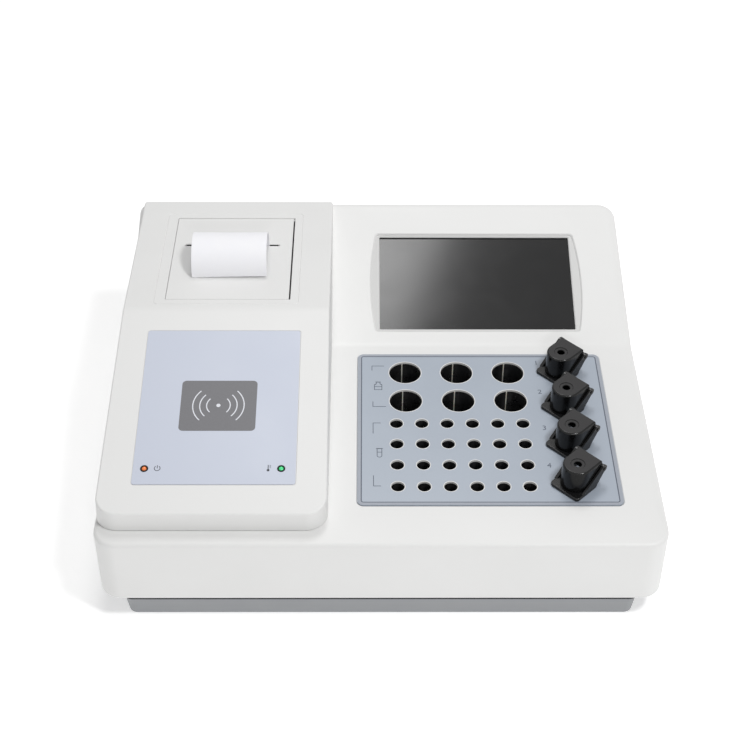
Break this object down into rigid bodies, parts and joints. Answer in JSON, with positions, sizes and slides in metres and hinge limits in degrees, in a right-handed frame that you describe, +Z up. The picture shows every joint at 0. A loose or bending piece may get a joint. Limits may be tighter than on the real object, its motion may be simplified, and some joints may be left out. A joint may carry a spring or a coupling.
{
  "type": "coagulation analyzer",
  "caption": "Benchtop coagulation analyzer: white housing with a sloping screen, a panel of heated wells, hinged light caps over the channels, and a raised card reader with a paper printer.",
  "frame": {"origin": "on the table, under the middle of the body", "axes": "+X to the right seen from the front, +Y to the back, +Z up; the front faces -Y"},
  "size_m": [0.3936, 0.344, 0.1517],
  "materials": {
    "aluminium": "milled",
    "amber": "clear tinted lens",
    "black_anodised": "black anodised",
    "black_plastic": "smooth moulding",
    "board": "green solder mask",
    "glass": "black printed glass",
    "green": "clear tinted lens",
    "grey_paint": "satin moulding",
    "grey_plastic": "satin moulding",
    "label_film": "satin printed film",
    "nylon": "natural moulding",
    "panel_film": "satin printed film",
    "paper": "plain paper",
    "rubber": "matt",
    "silicone": "smooth",
    "steel": "bright zinc",
    "white_abs": "fine satin moulding"
  },
  "bodies": {
    "analyzer": {"bar_carrier": "aluminium", "base_pan": "grey_paint", "cap_pin_1": "steel", "cap_pin_2": "steel", "cap_pin_3": "steel", "cap_pin_4": "steel", "card_label": "label_film", "card_reader_board": "board", "case_screw_1": "steel", "case_screw_2": "steel", "case_screw_3": "steel", "case_screw_4": "steel", "channel_base_1": "black_plastic", "channel_base_2": "black_plastic", "channel_base_3": "black_plastic", "channel_base_4": "black_plastic", "display_bracket": "steel", "display_glass": "glass", "feed_motor": "steel", "heat_lamp": "green", "heater_mat": "silicone", "lcd_module": "steel", "left_cover": "white_abs", "main_board": "board", "main_housing": "white_abs", "mechanism_frame": "steel", "optics_board": "board", "paper_web": "paper", "power_inlet": "black_plastic", "power_lamp": "amber", "power_supply": "board", "print_head": "aluminium", "printer_bay": "grey_plastic", "reagent_bar_1": "black_anodised", "reagent_bar_2": "black_anodised", "rear_plate": "steel", "roll_spindle": "grey_plastic", "rubber_foot_1": "rubber", "rubber_foot_2": "rubber", "rubber_foot_3": "rubber", "rubber_foot_4": "rubber", "sample_bar_1": "black_anodised", "sample_bar_2": "black_anodised", "sample_bar_3": "black_anodised", "sample_bar_4": "black_anodised", "switch_frame": "black_plastic", "well_panel": "panel_film"},
    "lid": {"printer_lid": "white_abs", "paper_curl": "paper"},
    "platen": {"platen_roller": "rubber", "platen_shaft": "steel", "platen_gear": "nylon"},
    "idler": {"idler_gear": "nylon"},
    "pinion": {"motor_pinion": "nylon"},
    "roll": {"paper_roll": "paper"},
    "rocker": {"switch_rocker": "black_plastic"},
    "light_cap_1": {"channel_cap_1": "black_plastic"},
    "light_cap_2": {"channel_cap_2": "black_plastic"},
    "light_cap_3": {"channel_cap_3": "black_plastic"},
    "light_cap_4": {"channel_cap_4": "black_plastic"}
  },
  "joints": [
    {"name": "lid_hinge", "type": "hinge", "parent": "analyzer", "child": "lid", "pos_m": [-0.11645, 0.14074, 0.1273], "axis": [-1, 0, 0], "range_deg": [0, 100]},
    {"name": "cap_hinge_1", "type": "hinge", "parent": "analyzer", "child": "light_cap_1", "pos_m": [0.14717, -0.10524, 0.08985], "axis": [-0.7071, 0.7067, 0.0237], "range_deg": [0, 100]},
    {"name": "cap_hinge_2", "type": "hinge", "parent": "analyzer", "child": "light_cap_2", "pos_m": [0.14717, -0.06526, 0.09119], "axis": [-0.7071, 0.7067, 0.0237], "range_deg": [0, 100]},
    {"name": "cap_hinge_3", "type": "hinge", "parent": "analyzer", "child": "light_cap_3", "pos_m": [0.14717, -0.02528, 0.09253], "axis": [-0.7071, 0.7067, 0.0237], "range_deg": [0, 100]},
    {"name": "cap_hinge_4", "type": "hinge", "parent": "analyzer", "child": "light_cap_4", "pos_m": [0.14717, 0.01469, 0.09387], "axis": [-0.7071, 0.7067, 0.0237], "range_deg": [0, 100]},
    {"name": "roll_spin", "type": "hinge", "parent": "analyzer", "child": "roll", "pos_m": [-0.11645, 0.05524, 0.0955], "axis": [1, 0, 0], "continuous": true},
    {"name": "platen_spin", "type": "hinge", "parent": "analyzer", "child": "platen", "pos_m": [-0.11645, 0.10919, 0.113], "axis": [1, 0, 0], "continuous": true},
    {"name": "idler_spin", "type": "hinge", "parent": "analyzer", "child": "idler", "pos_m": [-0.11645, 0.11669, 0.10001], "axis": [1, 0, 0], "continuous": true},
    {"name": "pinion_spin", "type": "hinge", "parent": "analyzer", "child": "pinion", "pos_m": [-0.11645, 0.12796, 0.09591], "axis": [1, 0, 0], "continuous": true},
    {"name": "rocker_hinge", "type": "hinge", "parent": "analyzer", "child": "rocker", "pos_m": [0.103, 0.1678, 0.0494], "axis": [1, 0, 0], "range_deg": [0, 16]}
  ],
  "couplings": [
    {"joint": "platen_spin", "follows": "roll_spin", "ratio": -3.8},
    {"joint": "idler_spin", "follows": "roll_spin", "ratio": 4.3429},
    {"joint": "pinion_spin", "follows": "roll_spin", "ratio": -6.08}
  ]
}
